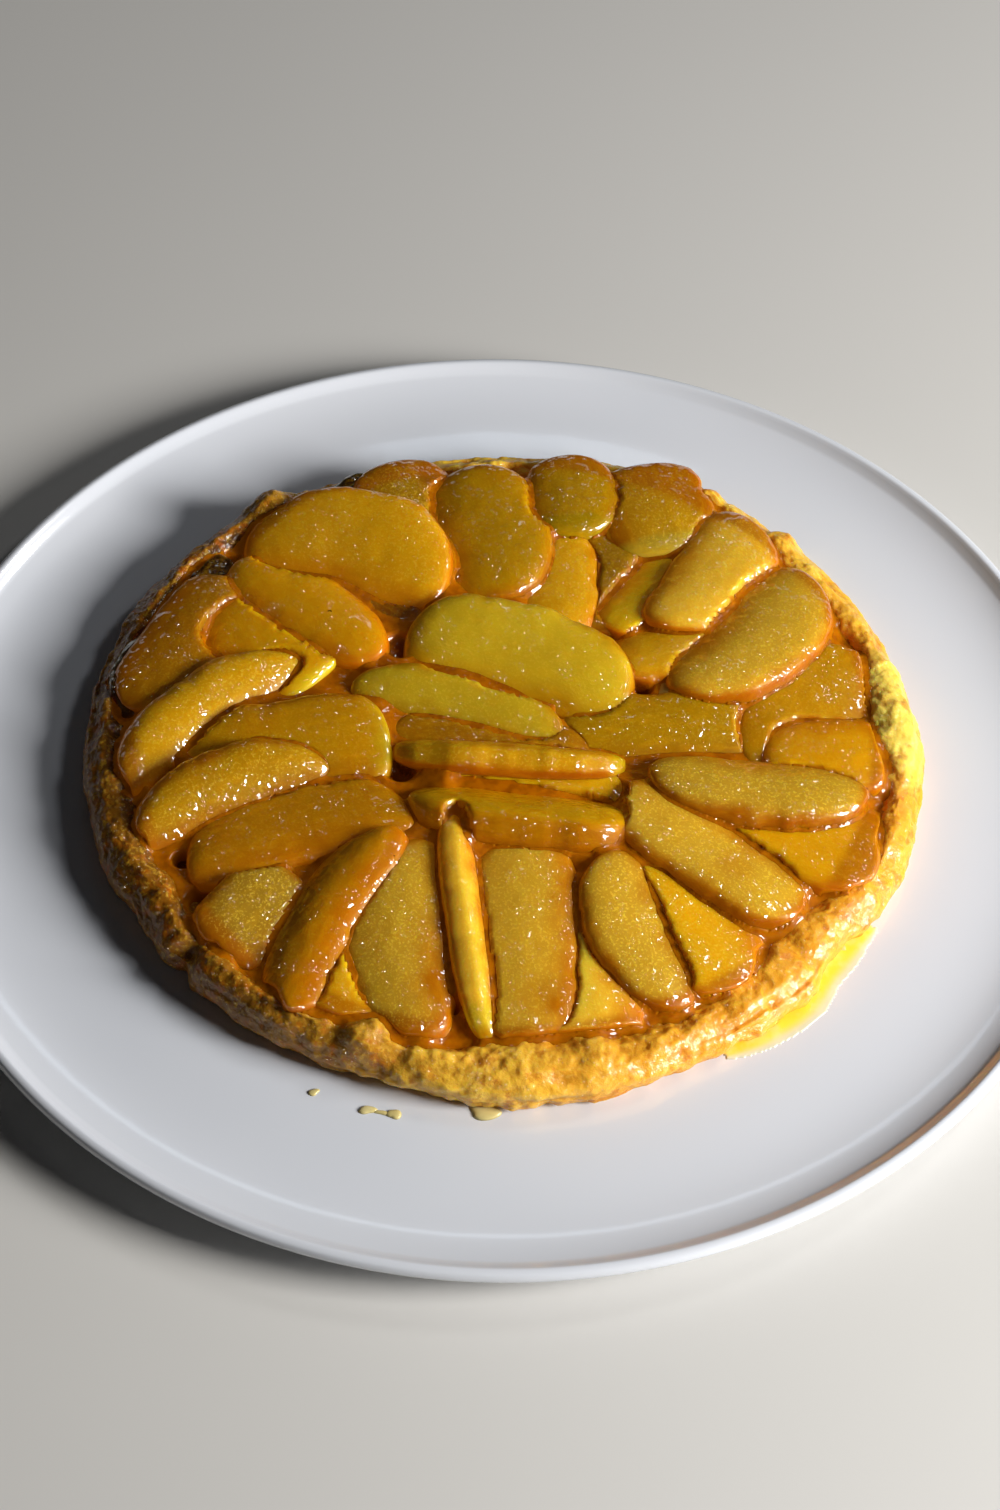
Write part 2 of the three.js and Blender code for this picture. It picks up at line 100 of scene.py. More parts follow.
# The slices, from the top one down.
SLICES = [Slice(*row) for row in [
    ("front_5", (-3, -109, 11), (-14, -33, 15), 15, 13, 8, 74, -1, "pale"),
    ("left_4", (-105, -43, 9), (-50, -15, 13), 18, 15, 9, 30, 5, "golden", 0.62, 0.4),
    ("left_2", (-110, -24, 9), (-60, 26, 12), 19, 16, 9, 20, 5, "golden", 0.8, 0.4),
    ("left_3", (-94, -16, 9), (-32, -7, 14), 29, 14, 10, 14, 0, "amber", 0.8, 0.4, 2.4, 7),
    ("centre_1", (-29, 36, 14), (38, 12, 15), 32, 16, 12, 13, 0, "green", 1, 0.42, 4, 2.6),
    ("centre_4", (36, -14, 14), (-32, -10, 14), 15, 13, 8, 60, 1, "golden", 0.84, 0.5, 4, 3),
    ("centre_6", (37, -37, 15), (-27, -29, 14), 22, 15, 10, 32, 0, "olive", 1.1, 0.48, 5, 2.6),
    ("centre_2", (-45, 16, 13), (18, -2, 14), 16, 13, 8, 20, 1, "green", 0.84, 0.4, 3, 2.2),
    ("centre_3", (-34, -2, 11), (26, -9, 12), 22, 12, 8, 10, 0, "brown", 0.75),
    ("centre_5", (-22, -21, 11), (38, -24, 12), 20, 12, 8, 10, 0, "olive", 1.2),
    ("front_8", (50, -98, 11), (31, -47, 16), 19, 13, 8, 6, 4, "pale", 0.64, 0.45),
    ("front_2", (-57, -106, 11), (-29, -41, 17), 19, 16, 9, -18, 6, "brown", 1.3, 0.4),
    ("right_3", (106, -22, 13), (42, -17, 16), 20, 13, 8, 10, 0, "pale", 0.62, 0.3),
    ("right_1", (90, 66, 13), (51, 13, 16), 27, 15, 9, 6, 5, "pale", 0.74, 0.38, 3, 2.6),
    ("back_8", (71, 90, 13), (46, 39, 16), 26, 15, 9, 0, 4, "pale", 0.92, 0.36),
    ("left_back_1", (-80, 77, 10), (-17, 55, 16), 33, 16, 10, 14, 4, "golden", 1, 0.4, 2.4, 3),
    ("left_back_2", (-83, 66, 11), (-36, 26, 15), 20, 15, 9, 4, 0, "orange", 1, 0.5, 3, 2.6),
    ("right_5", (84, -66, 12), (34, -23, 15), 23, 15, 9, 8, 0, "pale", 0.7, 0.42, 2.6, 4),
    ("back_4", (19, 115, 12), (22, 78, 14), 22, 13, 9, 0, 0, "olive", 0.85),
    ("front_4", (-19, -110, 11), (-23, -43, 14), 24, 15, 9, -6, 4, "pale", 0.7, 0.35, 2.6, 3.2),
    ("left_5", (-88, -54, 9), (-24, -36, 14), 28, 14, 9, -6, 3, "brown", 1.1, 0.22, 2.6, 2.6),
    ("right_7", (115, -6, 11), (76, -8, 11), 24, 12, 8, 0, 0, "orange"),
    ("right_2", (77, -14, 7), (106, 34, 12), 30, 14, 9, 8, 2, "orange", 0.66),
    ("front_6", (8, -111, 11), (6, -42, 14), 24, 14, 9, -5, 0, "pale", 0.76, 0.5, 3.4, 5),
    ("back_7", (41, 111, 12), (51, 72, 13), 29, 14, 9, 0, 0, "golden", 0.7, 0.5, 5, 2.4),
    ("right_4", (16, -1, 12), (76, 5, 11), 20, 14, 8, 12, 0, "olive", 0.74),
    ("back_2", (-11, 110, 11), (1, 51, 14), 29, 15, 9, 6, 0, "olive"),
    ("front_9", (68, -90, 10), (40, -48, 13), 25, 13, 8, 6, 2, "golden", 1, 0.5, 4, 2.6),
    ("front_7", (26, -111, 10), (19, -58, 12), 24, 13, 9, 0, 0, "pale", 1, 0.5, 7, 2.6),
    ("back_9", (67, 47, 11), (32, 23, 13), 19, 14, 9, 10, 2, "golden", 0.98),
    ("left_back_3", (-86, 48, 10), (-54, 18, 12), 26, 14, 10, 8, 0, "orange", 1.05, 0.5, 2.6, 7),
    # back_6: made lighter as painted light, as it lies in shade
    ("back_6", (56, 76, 10), (32, 40, 12), 20, 13, 8, 6, 2, "golden", 1.3, 0.4),
    ("back_3", (16, 85, 10), (15, 34, 12), 19, 13, 9, 4, 0, "golden"),
    ("back_5", (37, 94, 10), (29, 40, 11), 27, 11, 8, 0, 0, "amber", 0.5),
    ("right_6", (113, -44, 10), (58, -28, 11), 28, 13, 9, 6, 0, "orange", 1, 0.5, 4, 2.6),
    ("back_1", (-17, 46, 10), (-36, 112, 11), 26, 13, 9, 0, 2, "golden", 0.5, 0.5, 2.6, 6),
    ("left_back_4", (-74, 64, 9), (-24, 32, 11), 30, 11, 8, 6, 0, "dark", 0.66),
    ("left_1", (-85, 60, 11), (-109, 6, 10), 22, 15, 9, 2, 0, "brown", 0.8),
    ("front_3", (-43, -107, 10), (-41, -70, 11), 19, 13, 9, 0, 0, "golden", 1.1, 0.5, 7, 2.6),
    ("front_1", (-78, -81, 10), (-58, -54, 11), 20, 13, 8, 10, 0, "pale", 0.43, 0.5, 5, 2.6),
    # left_back_5 and left_0: darkened as painted shade
    ("left_back_5", (-76, 82, 8), (-36, 104, 10), 22, 11, 8, 0, 0, "shade_dark", 0.28),
    ("left_0", (-88, 72, 9), (-116, 6, 9), 28, 12, 8, 0, 0, "shade_dark", 0.36),
]]
THICKNESS_POWER = 3.2
TOP_FLATNESS = 0.4  # the upper face stays level nearly to the tips
CORE_STRAIGHTNESS = 1.6  # the core side is straighter than the skin side
CORE_SECTION = 4.4  # powers of the section's outline: above, on the core side
SKIN_SECTION = 6.0  # above, on the skin side
LOWER_SECTION = 3.0
CORE_DROP = 0.12  # of the half thickness, from the upper face's middle to its core edge
DOME = 0.2  # of the half thickness, from the upper face's middle to both its edges
SWELL = (1.0, 4.4)  # mm added on each side: to the top slice, and to the lowest one
ROUND_SECTION = 2.8  # power of the section's outline above, for the round slices
ROUND_SLICES = {"left_2", "left_4", "front_2", "centre_4", "front_5"}
FLARE = 1.5  # how much further the sides stand out at the bottom than at the top
EDGE_FLARE = 1.0  # the same for a slice that stands on its edge
ON_EDGE = 50  # degrees of roll from which a slice stands on its edge
FIRST_SEED, SEED_STEP = 40, 11  # of the slices' noise
SLICE_RINGS = 76
RING_CROWDING = 0.6  # how much closer the rings stand at the tips, from 0 to 1
SLICE_SIDES = 60
SEAT_GAP = 0.25  # under the piece that lies above
SEAT_THICKNESS = 0.5  # least thickness of a slice that is pressed flat
SEAT_EDGE = (0.8, 2.6)  # from a slice's edge inwards, where the next one dips under it
SEAT_SMOOTHING = 3  # rounds of smoothing for that edge
EDGE_FREE = 2  # how far the next one may stand over a slice's top at its very edge

# Colours of the fruit, as sRGB bytes: the middle of the cut face, its edge, and the
# sides, where the caramel has soaked in.
LOOKS = {
    "pale": ((250, 196, 66), (204, 122, 0), (190, 104, 0)),
    "golden": ((230, 170, 14), (190, 114, 0), (176, 94, 0)),
    "green": ((220, 184, 40), (176, 124, 0), (166, 102, 0)),
    "olive": ((200, 148, 2), (166, 106, 0), (152, 86, 0)),
    "amber": ((216, 154, 0), (178, 108, 0), (162, 86, 0)),
    "orange": ((230, 164, 4), (194, 116, 0), (176, 92, 0)),
    "brown": ((186, 124, 0), (166, 98, 0), (144, 74, 0)),
    "dark": ((154, 88, 0), (132, 66, 0), (108, 44, 0)),
    # painted shade: the near-black look of the slices on the shaded far left
    "shade_dark": ((96, 48, 0), (78, 36, 0), (62, 26, 0)),
}
DARK_LOOKS = {"brown", "dark", "shade_dark"}  # these keep their colour beside the rim
# How grainy the dry middle of the flesh looks: pale grains and specks, partly real grain and partly
# painted glints.
DRYNESS = {**dict.fromkeys(LOOKS, 0.25), "pale": 1.0, "golden": 0.6, "green": 0.4}
CORE_FADE = 0.42  # of the width: how far the edge's colour reaches in on the core side
SKIN_FADE = 3.6  # the same on the skin side, in mm
END_FADE = 5.0  # and at the ends
TURNED_AWAY = (0.84, 0.3)  # upward part of the normal, from the cut face to the sides
COAT_ENDS = (0.65, 0.35)  # the same, from where the glaze shines to where it is dull
SOAK_AND_SHADE_DEPTH = (1.5, 6.0)  # under the fruit's even top surface: from dry to soaked, darker partly from caramel and partly as painted shade in the crevices
GLOW = 0.22  # painted glow: emission for the light that comes out of the soaked sides and the caramel
GLOW_TINT = (1, 0.95, 0.1)  # of the painted glow: caramel lets next to no blue through
BRIGHTEST = 0.9  # linear value of a colour
# dark caramel, which also serves as painted shade in the deep gaps
DEEP_CARAMEL_AND_SHADE = (104, 42, 0)
AMBER_CARAMEL = (170, 96, 0)
# Places where the fruit is coloured amber, partly by the glaze and partly as painted shade: place and
# radius.
AMBER_AND_SHADE_SPOTS = [
    (34, 30, 9), (-27, 24, 8), (-29, -46, 9), (0, 105, 11), (-18, 67, 8), (16, 3, 8),
    (26, 113, 9), (-89, -19, 12), (-42, -69, 8), (84, -67, 9), (-23, 104, 9), (60, 95, 10),
    (42, -25, 9), (-51, -92, 9), (43, 10, 8), (-45, 96, 9), (-50, 22, 8), (-72, 0, 12),
    (-80, -40, 10), (66, -52, 8), (12, -98, 9), (-20, -96, 9), (60, 30, 8), (30, -88, 6),
]
SOAK_AND_SHADE_SHARE = {"centre_5": 0.1}  # of a low slice that still shows its own colour, with little caramel and painted shade
# Ends of another colour: slice, which end, share of the half length where it starts,
# and colour.
END_TINTS = [
    ("left_3", 1, 0.9, (196, 168, 14)),
    ("left_back_3", 1, 0.88, (216, 188, 24)),
    ("centre_4", -1, 0.9, (186, 160, 10)),
    ("front_5", -1, 0.82, (204, 176, 16)),
    ("back_4", 1, 0.66, (176, 142, 4)),
    ("back_7", 1, 0.7, (214, 180, 60)),
    ("centre_1", -1, 0.86, (170, 120, 10)),
]

# ---- Small helpers -----------------------------------------------------------------


def linear(colour):
    """An sRGB colour in bytes as the linear values that Blender's shaders take."""
    share = np.asarray(colour, float) / 255
    return np.where(share <= 0.04045, share / 12.92, ((share + 0.055) / 1.055) ** 2.4)


def mix(a, b, share):
    return a + (b - a) * share


def painted(tone, *layers):
    """A linear colour under layers: each an sRGB colour and how much of it shows."""
    for colour, share in layers:
        tone = mix(tone, linear(colour), share[..., None])
    return tone


def step_between(low, high, value):
    """0 below low, 1 above high and smooth in between."""
    t = np.clip((value - low) / (high - low), 0, 1)
    return t * t * (3 - 2 * t)


def wrapped(angle):
    """The same angle, within half a turn of 0."""
    return np.arctan2(np.sin(angle), np.cos(angle))


def round_tart(x, y):
    """How far places are from the tart's centre, and their angle round it."""
    x, y = x - TART_CENTRE[0], y - TART_CENTRE[1]
    return np.hypot(x, y), np.arctan2(y, x)


def spot_share(spots, x, y):
    """How much a place belongs to one of the spots, from 0 to 1."""
    share = np.zeros(np.shape(x))
    for at_x, at_y, wide in spots:
        share = np.maximum(share, step_between(wide, 0.3 * wide, np.hypot(x - at_x, y - at_y)))
    return share


def cell_value(cells, seed):
    """A repeatable number from -1 to 1 for each whole-number cell."""
    x, y, z = (cells[..., k].astype(np.uint32) for k in range(3))
    mixed = x * np.uint32(73856093) ^ y * np.uint32(19349663) ^ z * np.uint32(83492791)
    mixed ^= np.uint32((seed * 2654435761) % 2**32)
    mixed = (mixed ^ (mixed >> np.uint32(13))) * np.uint32(1274126177)
    return (mixed ^ (mixed >> np.uint32(16))) / 2.0**31 - 1


def noise(points, size, seed):
    """Smooth noise from -1 to 1 with features of about that size.

    The seed is any whole number: it only picks one noise among many.
    """
    scaled = np.asarray(points, float) / size + 1000
    cell = np.floor(scaled)
    t = scaled - cell
    t = t * t * t * (t * (t * 6 - 15) + 10)
    total = 0
    for corner in np.ndindex(2, 2, 2):
        share = np.prod(np.where(corner, t, 1 - t), axis=-1)
        total = total + share * cell_value(cell + corner, seed)
    return total


def layered_noise(points, size, seed, layers=3):
    """Noise with finer layers on top, each half the size and half as strong."""
    total = 0
    for layer in range(layers):
        total = total + noise(points, size / 2**layer, seed + layer) / 2**layer
    return total


def add_mesh(name, points, faces, material, place=(0, 0, 0), smooth=True):
    """A new object from faces and from points in mm, moved to a place."""
    mesh = bpy.data.meshes.new(name)
    mesh.from_pydata(((np.asarray(points) + place) * MM).tolist(), [], faces)
    mesh.materials.append(material)
    mesh.update()
    if smooth:
        mesh.shade_smooth()
    piece = bpy.data.objects.new(name, mesh)
    bpy.context.scene.collection.objects.link(piece)
    return piece


def add_colours(piece, name, colours, alpha=1.0):
    values = np.ones((len(piece.data.vertices), 4), np.float32)
    values[:, :3] = colours
    values[:, 3] = alpha
    layer = piece.data.color_attributes.new(name, "FLOAT_COLOR", "POINT")
    layer.data.foreach_set("color", values.ravel())


def add_vectors(piece, name, vectors):
    layer = piece.data.attributes.new(name, "FLOAT_VECTOR", "POINT")
    layer.data.foreach_set("vector", np.asarray(vectors, np.float32).ravel())


def vertex_normals(piece):
    normals = np.empty(len(piece.data.vertices) * 3, np.float32)
    piece.data.vertices.foreach_get("normal", normals)
    return normals.reshape(-1, 3)


def turned_faces(rows, columns):
    """Faces of a turned shape: a first point, rows of columns points, a last point."""
    faces = []
    last = 1 + rows * columns
    for j in range(columns):
        k = (j + 1) % columns
        faces.append((0, 1 + k, 1 + j))
        faces.append((last, last - columns + j, last - columns + k))
    for i in range(rows - 1):
        low = 1 + i * columns
        high = low + columns
        for j in range(columns):
            k = (j + 1) % columns
            faces.append((low + j, low + k, high + k, high + j))
    return faces


def joined(parts):
    """The points and faces of several parts as those of one."""
    points, faces, count = [], [], 0
    for part_points, part_faces in parts:
        points.append(part_points)
        faces += [tuple(count + k for k in face) for face in part_faces]
        count += len(part_points)
    return np.vstack(points), faces


def smooth_line(points, steps):
    """Points on a smooth curve through the given points, evenly shared out."""
    points = np.asarray(points, float)
    padded = np.vstack([2 * points[0] - points[1], points, 2 * points[-1] - points[-2]])
    curve = []
    for i in range(len(points) - 1):
        a, b, c, d = padded[i : i + 4]
        for t in np.linspace(0, 1, steps, endpoint=False):
            curve.append(
                0.5 * (2 * b + (c - a) * t + (2 * a - 5 * b + 4 * c - d) * t**2
                       + (3 * b - a - 3 * c + d) * t**3)
            )
    curve.append(points[-1])
    return np.array(curve)


# ---- Materials ---------------------------------------------------------------------


class Finish:
    """A material under construction: its node tree and its main shader."""

    def __init__(self, name, inputs):
        self.material = bpy.data.materials.new(name)
        self.material.use_nodes = True
        self.tree = self.material.node_tree
        self.shader = self.tree.nodes["Principled BSDF"]
        self.feed(self.shader, inputs)

    def feed(self, node, inputs):
        """Sets a node's inputs, each to a fixed value or to another node's output."""
        for name, value in inputs.items():
            if isinstance(value, bpy.types.NodeSocket):
                self.tree.links.new(value, node.inputs[name])
            else:
                node.inputs[name].default_value = value

    def node(self, kind, inputs, **settings):
        """The outputs of a new node."""
        made = self.tree.nodes.new("ShaderNode" + kind)
        for name, value in settings.items():
            setattr(made, name, value)
        self.feed(made, inputs)
        return made.outputs

    def attribute(self, name):
        return self.node("Attribute", {}, attribute_name=name)

    def position(self):
        """The place on the object, in millimetres."""
        inputs = {0: self.node("TexCoord", {})["Object"], "Scale": 1 / MM}
        return self.node("VectorMath", inputs, operation="SCALE")["Vector"]

    def stretched(self, vector, scale):
        return self.node("Mapping", {"Vector": vector, "Scale": scale})["Vector"]

    def noise(self, vector, size, detail=3, roughness=0.55):
        """Noise with features of about that size, from 0 to 1."""
        inputs = {"Vector": vector, "Scale": 1 / size, "Detail": detail, "Roughness": roughness}
        return self.node("TexNoise", inputs)["Fac"]

    def beads(self, vector, size, kept, radius=0.42):
        """Small round domes in a share of the cells, from 0 at their foot to 1."""
        cells = self.node("TexVoronoi", {"Vector": vector, "Scale": 1 / size})
        split = self.node("SeparateColor", {"Color": cells["Color"]})
        chosen = self.ranged(split[0], 1 - kept, 1.02 - kept)
        return self.multiplied(self.ranged(cells["Distance"], radius, 0.0), chosen)

    def ranged(self, value, low, high):
        """0 at low, 1 at high and smooth in between."""
        inputs = {"Value": value, "From Min": low, "From Max": high}
        return self.node("MapRange", inputs, interpolation_type="SMOOTHSTEP")["Result"]

    def blended(self, first, second, share):
        """Two colours mixed; each is an output or a fixed sRGB colour."""
        first, second = (
            colour if isinstance(colour, bpy.types.NodeSocket) else (*linear(colour), 1)
            for colour in (first, second))
        return self.node("Mix", {0: share, 6: first, 7: second}, data_type="RGBA")[2]

    def multiplied(self, first, second):
        return self.node("Math", {0: first, 1: second}, operation="MULTIPLY")["Value"]

    def bump(self, heights):
        """A normal from several (height, depth in mm) pairs, one on top of another."""
        normal = {}
        for height, depth in heights:
            inputs = {"Height": height, "Strength": 1.0, "Distance": depth * MM, **normal}
            normal = {"Normal": self.node("Bump", inputs)["Normal"]}
        return normal["Normal"]


def fruit_finish():
    """Soft cooked apple: pale flesh steeped in caramel, under a wet uneven glaze, with a painted glow
    as its emission and pale grains and specks that are partly painted glints.
    """
    finish = Finish("cooked_fruit", {
        "Roughness": 0.35, "Specular IOR Level": 0.2, "Emission Strength": 1.0,
        "Subsurface Weight": 0.8, "Subsurface Radius": (1.0, 0.65, 0.15),
        "Subsurface Scale": 0.006, "Coat Roughness": 0.05, "Coat IOR": 1.7,
        "Coat Tint": (1.0, 0.98, 0.6, 1.0),
    })
    place = finish.attribute("place")["Vector"]
    coloured, glow = finish.attribute("tone"), finish.attribute("glow")
    tone, dry = coloured["Color"], coloured["Alpha"]
    fibres = finish.noise(finish.stretched(place, (0.3, 1, 1)), 2.4, 3)
    grains = finish.noise(place, 0.8, 2, 0.6)
    lighter = finish.blended(tone, (250, 186, 10), 0.14)
    colour = finish.blended(tone, lighter, finish.ranged(fibres, 0.45, 0.75))
    # pale grains and specks: partly the flesh's grain, partly painted glints
    grain_glint_colour = finish.blended(colour, (255, 220, 90), 0.55)
    dry_grain_glints = finish.multiplied(finish.ranged(grains, 0.5, 0.68), dry)
    colour = finish.blended(colour, grain_glint_colour, dry_grain_glints)
    grain_and_glint_specks = finish.multiplied(finish.beads(place, 1.6, 0.3, 0.25), dry)
    colour = finish.blended(colour, (255, 228, 120), finish.multiplied(grain_and_glint_specks, 0.5))
    waves = finish.noise(place, 5, 0)
    ripples = finish.noise(place, 2.2, 0)
    patches = finish.ranged(finish.noise(place, 9, 1), 0.42, 0.6)
    clustered = finish.multiplied(ripples, patches)
    beads = finish.multiplied(finish.beads(place, 2.8, 0.5), patches)
    fine_patches = finish.ranged(finish.noise(place, 6, 2), 0.44, 0.56)
    fine_beads = finish.multiplied(finish.beads(place, 1.9, 0.7, 0.47), fine_patches)
    # Emission Color takes the glow attribute: a painted glow for light coming through the flesh
    finish.feed(finish.shader, {
        "Base Color": colour, "Emission Color": glow["Color"], "Coat Weight": glow["Alpha"],
        "Normal": finish.bump([(fibres, 0.03), (grains, 0.06)]),
        "Coat Normal": finish.bump([(waves, 0.5), (ripples, 0.2), (clustered, 0.8),
                                    (beads, 1.1), (fine_beads, 0.9)]),
    })
    return finish.material


def pastry_finish():
    """Baked pastry: golden, grainy and flaky, with a patchy coat of caramel."""
    finish = Finish("baked_pastry", {
        "Roughness": 0.5, "Specular IOR Level": 0.1, "Subsurface Weight": 0.5,
        "Subsurface Radius": (1.0, 0.55, 0.1), "Subsurface Scale": 0.003,
        "Coat Weight": 0.6, "Coat Roughness": 0.08, "Coat IOR": 1.8,
    })
    place = finish.position()
    tone = finish.attribute("tone")["Color"]
    blotches = finish.noise(place, 5, 4, 0.65)
    grains = finish.noise(place, 0.9, 2, 0.6)
    crumbs = finish.noise(finish.stretched(place, (1, 1, 1.4)), 1.6, 3, 0.6)
    stained = finish.blended(tone, (196, 100, 2), 0.6)
    colour = finish.blended(tone, stained, finish.ranged(blotches, 0.5, 0.66))
    lighter = finish.blended(colour, (255, 206, 70), 0.4)
    colour = finish.blended(colour, lighter, finish.ranged(crumbs, 0.5, 0.7))
    # pale specks: partly sugar grains, partly painted glints
    grain_and_glint_specks = finish.multiplied(finish.beads(place, 1.4, 0.3, 0.25), 0.6)
    finish.feed(finish.shader, {
        "Base Color": finish.blended(colour, (255, 236, 176), grain_and_glint_specks),
        "Normal": finish.bump([(crumbs, 0.3), (grains, 0.12)]),
        "Coat Normal": finish.bump([(crumbs, 0.5), (finish.beads(place, 1.7, 0.6), 1.0)]),
    })
    return finish.material


def caramel_finish():
    """Caramel in the gaps: dark where it is deep, as thick caramel and as painted shade, amber where it
    is thin.
    """
    finish = Finish("caramel", {
        "Roughness": 0.4, "Specular IOR Level": 0.05, "Emission Strength": 0.4 * GLOW,
        "Subsurface Weight": 0.6, "Subsurface Radius": (1.0, 0.5, 0.05),
        "Subsurface Scale": 0.004, "Coat Weight": 0.7, "Coat Roughness": 0.06,
    })
    place = finish.position()
    tone = finish.attribute("tone")["Color"]
    darker = finish.blended(tone, (120, 56, 0), 0.6)
    clots = finish.ranged(finish.noise(place, 4.0, 2), 0.4, 0.7)
    colour = finish.blended(tone, darker, clots)
    # the caramel's emission is a painted glow
    finish.feed(finish.shader, {
        "Base Color": colour, "Emission Color": colour,
        "Coat Normal": finish.bump([(finish.noise(place, 3.0, 0), 0.8)]),
    })
    return finish.material


def plate_finish():
    """White glazed porcelain, with the faint ripple of a fired glaze."""
    finish = Finish("glazed_porcelain", {
        "Roughness": 0.16, "Coat Weight": 0.6, "Coat Roughness": 0.06})
    place = finish.position()
    whites = (222, 226, 234), (228, 231, 238)
    finish.feed(finish.shader, {
        "Base Color": finish.blended(*whites, finish.noise(place, 60, 2)),
        "Coat Normal": finish.bump([(finish.noise(place, 18, 2), 0.06)]),
    })
    return finish.material


def syrup_finish():
    """Thin clear syrup on the plate: yellow where it is deep, pale at its edge."""
    finish = Finish("syrup", {"Roughness": 0.3, "Coat Weight": 0.4, "Coat Roughness": 0.04})
    tone = finish.attribute("tone")["Color"]
    cloud = finish.noise(finish.position(), 5, 2)
    paler = finish.blended(tone, (250, 240, 190), 0.3)
    finish.feed(finish.shader, {
        "Base Color": finish.blended(tone, paler, finish.ranged(cloud, 0.45, 0.7)),
        "Coat Normal": finish.bump([(cloud, 0.2)]),
    })
    return finish.material


def floor_finish():
    finish = Finish("pale_floor", {"Roughness": 0.6, "Coat Weight": 0.0, "Coat Roughness": 0.1})
    greys = (214, 212, 208), (220, 218, 214)
    cloud = finish.noise(finish.position(), 400, 2)
    finish.feed(finish.shader, {"Base Color": finish.blended(*greys, cloud)})
    return finish.material


# ---- Plate -------------------------------------------------------------------------


def plate_top(radius):
    t = np.maximum(radius - PLATE_WELL_RADIUS, 0) / (PLATE_RADIUS - PLATE_WELL_RADIUS)
    return mix(PLATE_WELL_HEIGHT, PLATE_HEIGHT, t**PLATE_SWEEP_POWER)


def turned_piece(name, outline, columns, material):
    """A turned object from its outline, whose first and last points are on the axis."""
    angles = np.arange(columns) * 2 * math.pi / columns
    points = [np.array([[0, 0, outline[0][1]]])]
    for radius, height in outline[1:-1]:
        ring = [radius * np.cos(angles), radius * np.sin(angles), np.full(columns, height)]
        points.append(np.stack(ring, -1))
    points.append(np.array([[0, 0, outline[-1][1]]]))
    return add_mesh(name, np.vstack(points), turned_faces(len(outline) - 2, columns), material)


def make_plate():
    """The plate's outline: foot ring, swept side, round lip, smooth well."""
    foot_inside = FOOT_RADIUS - FOOT_WIDTH
    under = [(0, FOOT_HEIGHT), (foot_inside - 4, FOOT_HEIGHT), (foot_inside - 0.6, FOOT_HEIGHT)]
    foot_edge = [(0, FOOT_HEIGHT - 0.3), (0.4, 0.6), (0.7, 0.2), (1.2, 0)]
    foot = [(foot_inside + further, height) for further, height in foot_edge]
    foot += [(FOOT_RADIUS - further, height) for further, height in reversed(foot_edge)]
    outside = [(r, plate_top(r) - PLATE_THICKNESS)
               for r in np.linspace(FOOT_RADIUS + 1, PLATE_RADIUS - 4, 22)]
    lip_inside = PLATE_RADIUS - PLATE_LIP_WIDTH
    lip_edge = [(2.4, 5.4), (0.9, 4), (0, 2.2), (0.6, 0.5), (2.4, 0), (3.8, 0.8)]
    lip = [(PLATE_RADIUS - inward, PLATE_HEIGHT - below) for inward, below in lip_edge]
    inside = [(r, plate_top(r))
              for r in np.linspace(lip_inside - 0.8, PLATE_WELL_RADIUS - 8, 34)]
    well = [(r, PLATE_WELL_HEIGHT) for r in (118, 100, 70, 35, 0)]
    outline = [*under, *foot, *outside, *smooth_line(lip, 5), *inside, *well]
    plate = turned_piece("plate_fine", outline, PLATE_COLUMNS, plate_finish())
    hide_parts("plate")
    return plate


# ---- Pastry ------------------------------------------------------------------------


def rim_at(angle):
    """The rim's outer radius, inner radius and crest height at each angle."""
    outer = TART_RADIUS + 0.5 * np.sin(5 * angle + 2.1)
    crest = RIM_HEIGHT + 0.6 * np.sin(3 * angle + 1.2) + 0.5 * np.sin(8 * angle)
    width = RIM_WIDTH + 1.2 * np.sin(4 * angle + 0.4) + 0.8 * np.sin(9 * angle + 2)
    for _, at, wide, out, up, inward in RIM_PLACES:
        away = np.abs(wrapped(math.radians(at) - angle)) / math.radians(wide)
        share = (1 - np.minimum(away, 1) ** 2) ** 2
        outer = outer + out * share
        crest = crest + up * share
        width = width + inward * share
    return outer, outer - width, crest


PASTRY_ANGLES = 1180
PASTRY_STEPS = 8
NOISE_RADIUS = 120  # of the circle along which the noise is the same on the whole section
SHOWN_CORNERS = slice(2, 11)  # of the section: those that get all the steps


def pastry_outline(angle):
    """The pastry's section at one angle, from the middle of its base to the bed's."""
    outer, inner, crest = rim_at(angle)
    bed = BED_HEIGHT
    corners = [
        (outer - 14, BASE_HEIGHT), (outer - 5, BASE_HEIGHT), (outer - 1.4, BASE_HEIGHT + 1.2),
        (outer, BASE_HEIGHT + 4), (outer - 0.6, BASE_HEIGHT + 7.5), (outer - 2.4, crest - 2.4),
        (outer - 5.2, crest - 0.4), (outer - 0.62 * (outer - inner), crest), (inner + 2.2, crest - 1.2),
        (inner + 0.6, mix(bed, crest, 0.55)), (inner - 0.8, bed + 2.6), (inner - 4, bed),
        (inner - 12, bed),
    ]
    shown = smooth_line(corners[SHOWN_CORNERS], PASTRY_STEPS)
    return np.vstack([corners[: SHOWN_CORNERS.start], shown, corners[SHOWN_CORNERS.stop :]])


def terraced(value, step):
    """The value with its even slopes turned into steps, as in torn layers."""
    whole = np.floor(value / step)
    return (whole + step_between(0.3, 0.8, value / step - whole)) * step


